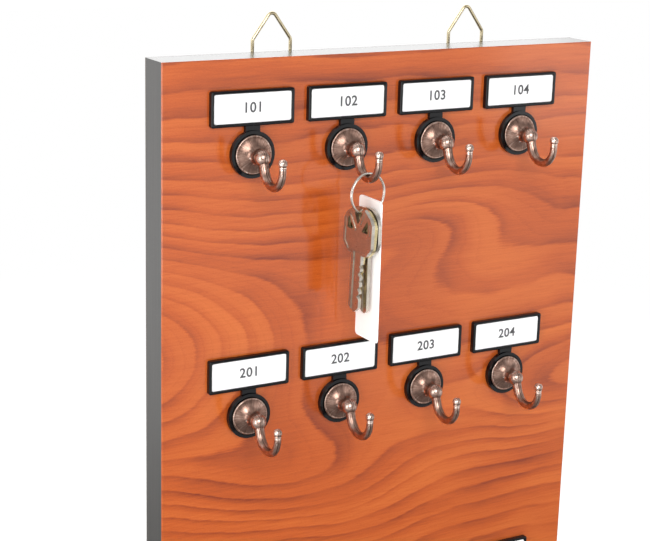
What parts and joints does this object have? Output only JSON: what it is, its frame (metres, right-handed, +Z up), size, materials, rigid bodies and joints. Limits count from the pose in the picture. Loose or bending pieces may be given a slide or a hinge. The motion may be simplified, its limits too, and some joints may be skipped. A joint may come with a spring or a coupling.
{
  "type": "wall key organiser",
  "caption": "Wall-hung wood-pattern key board with labelled copper J hooks, wire hangers and a tagged key set.",
  "frame": {"origin": "centre of the board's bottom edge, midway through its thickness", "axes": "+Z up the board; the front with the hooks faces -Y; +X to the right seen from the front"},
  "size_m": [0.258, 0.0591, 0.446],
  "materials": {
    "fibreboard": "raw fibreboard",
    "cherry_laminate": "gloss cherry pattern",
    "backing_sheet": "matt laminate",
    "edge_band": "satin dark grey",
    "holder_plastic": "gloss black",
    "card": "smooth white card",
    "antique_copper": "antique copper plate, rubbed bright on the edges",
    "zinc_steel": "zinc plated",
    "hanger_brass": "brass plated",
    "bumper_rubber": "matt",
    "ring_steel": "nickel plated",
    "key_nickel": "worn nickel",
    "key_brass": "worn brass",
    "tag_plastic": "satin white"
  },
  "bodies": {
    "board": {"board_core": "fibreboard", "front_laminate": "cherry_laminate", "back_laminate": "backing_sheet", "edge_band_top": "edge_band", "edge_band_bottom": "edge_band", "edge_band_left": "edge_band", "edge_band_right": "edge_band", "label_holder_r1c1": "holder_plastic", "label_holder_r1c2": "holder_plastic", "label_holder_r1c3": "holder_plastic", "label_holder_r1c4": "holder_plastic", "label_holder_r2c1": "holder_plastic", "label_holder_r2c2": "holder_plastic", "label_holder_r2c3": "holder_plastic", "label_holder_r2c4": "holder_plastic", "label_holder_r3c1": "holder_plastic", "label_holder_r3c2": "holder_plastic", "label_holder_r3c3": "holder_plastic", "label_holder_r3c4": "holder_plastic", "hook_r1c1": "antique_copper", "hook_r1c2": "antique_copper", "hook_r1c3": "antique_copper", "hook_r1c4": "antique_copper", "hook_r2c1": "antique_copper", "hook_r2c2": "antique_copper", "hook_r2c3": "antique_copper", "hook_r2c4": "antique_copper", "hook_r3c1": "antique_copper", "hook_r3c2": "antique_copper", "hook_r3c3": "antique_copper", "hook_r3c4": "antique_copper", "hook_screws": "zinc_steel", "hook_washers": "zinc_steel", "hanger_strap_left": "hanger_brass", "hanger_strap_right": "hanger_brass", "strap_screws": "hanger_brass", "wall_bumpers": "bumper_rubber"},
    "card_r1c1": {"label_card_r1c1": "card"},
    "card_r1c2": {"label_card_r1c2": "card"},
    "card_r1c3": {"label_card_r1c3": "card"},
    "card_r1c4": {"label_card_r1c4": "card"},
    "card_r2c1": {"label_card_r2c1": "card"},
    "card_r2c2": {"label_card_r2c2": "card"},
    "card_r2c3": {"label_card_r2c3": "card"},
    "card_r2c4": {"label_card_r2c4": "card"},
    "card_r3c1": {"label_card_r3c1": "card"},
    "card_r3c2": {"label_card_r3c2": "card"},
    "card_r3c3": {"label_card_r3c3": "card"},
    "card_r3c4": {"label_card_r3c4": "card"},
    "hanger_left": {"hanger_ring_left": "hanger_brass"},
    "hanger_right": {"hanger_ring_right": "hanger_brass"},
    "ring": {"split_ring": "ring_steel"},
    "swinging_key_front": {"key_front": "key_nickel"},
    "swinging_key_middle": {"key_middle": "key_brass"},
    "swinging_key_rear": {"key_rear": "key_nickel"},
    "swinging_tag": {"key_tag": "tag_plastic"}
  },
  "joints": [
    {"name": "card_lift_r1c1", "type": "slide", "parent": "board", "child": "card_r1c1", "axis": [0, -1, 0], "range_m": [0, 0.02]},
    {"name": "card_lift_r1c2", "type": "slide", "parent": "board", "child": "card_r1c2", "axis": [0, -1, 0], "range_m": [0, 0.02]},
    {"name": "card_lift_r1c3", "type": "slide", "parent": "board", "child": "card_r1c3", "axis": [0, -1, 0], "range_m": [0, 0.02]},
    {"name": "card_lift_r1c4", "type": "slide", "parent": "board", "child": "card_r1c4", "axis": [0, -1, 0], "range_m": [0, 0.02]},
    {"name": "card_lift_r2c1", "type": "slide", "parent": "board", "child": "card_r2c1", "axis": [0, -1, 0], "range_m": [0, 0.02]},
    {"name": "card_lift_r2c2", "type": "slide", "parent": "board", "child": "card_r2c2", "axis": [0, -1, 0], "range_m": [0, 0.02]},
    {"name": "card_lift_r2c3", "type": "slide", "parent": "board", "child": "card_r2c3", "axis": [0, -1, 0], "range_m": [0, 0.02]},
    {"name": "card_lift_r2c4", "type": "slide", "parent": "board", "child": "card_r2c4", "axis": [0, -1, 0], "range_m": [0, 0.02]},
    {"name": "card_lift_r3c1", "type": "slide", "parent": "board", "child": "card_r3c1", "axis": [0, -1, 0], "range_m": [0, 0.02]},
    {"name": "card_lift_r3c2", "type": "slide", "parent": "board", "child": "card_r3c2", "axis": [0, -1, 0], "range_m": [0, 0.02]},
    {"name": "card_lift_r3c3", "type": "slide", "parent": "board", "child": "card_r3c3", "axis": [0, -1, 0], "range_m": [0, 0.02]},
    {"name": "card_lift_r3c4", "type": "slide", "parent": "board", "child": "card_r3c4", "axis": [0, -1, 0], "range_m": [0, 0.02]},
    {"name": "hanger_fold_left", "type": "hinge", "parent": "board", "child": "hanger_left", "pos_m": [-0.0591, 0.01153, 0.413], "axis": [-1, 0, 0], "range_deg": [0, 170]},
    {"name": "hanger_fold_right", "type": "hinge", "parent": "board", "child": "hanger_right", "pos_m": [0.0591, 0.01153, 0.413], "axis": [-1, 0, 0], "range_deg": [0, 170]},
    {"name": "ring_swing", "type": "hinge", "parent": "board", "child": "ring", "pos_m": [-0.027, -0.03395, 0.3663], "axis": [0, 1, 0], "range_deg": [-60, 60]},
    {"name": "key_front_swing", "type": "hinge", "parent": "ring", "child": "swinging_key_front", "pos_m": [-0.03156, -0.03455, 0.34913], "axis": [-0.9914, -0.1305, 0], "range_deg": [-17.5, 92.5]},
    {"name": "key_middle_swing", "type": "hinge", "parent": "ring", "child": "swinging_key_middle", "pos_m": [-0.02938, -0.03426, 0.34835], "axis": [-0.9914, -0.1305, 0], "range_deg": [-14, 96]},
    {"name": "key_rear_swing", "type": "hinge", "parent": "ring", "child": "swinging_key_rear", "pos_m": [-0.0266, -0.0339, 0.34808], "axis": [-0.9914, -0.1305, 0], "range_deg": [-20, 90]},
    {"name": "tag_swing", "type": "hinge", "parent": "ring", "child": "swinging_tag", "pos_m": [-0.02323, -0.03345, 0.34878], "axis": [-0.9914, -0.1305, 0], "range_deg": [-8, 90]}
  ]
}
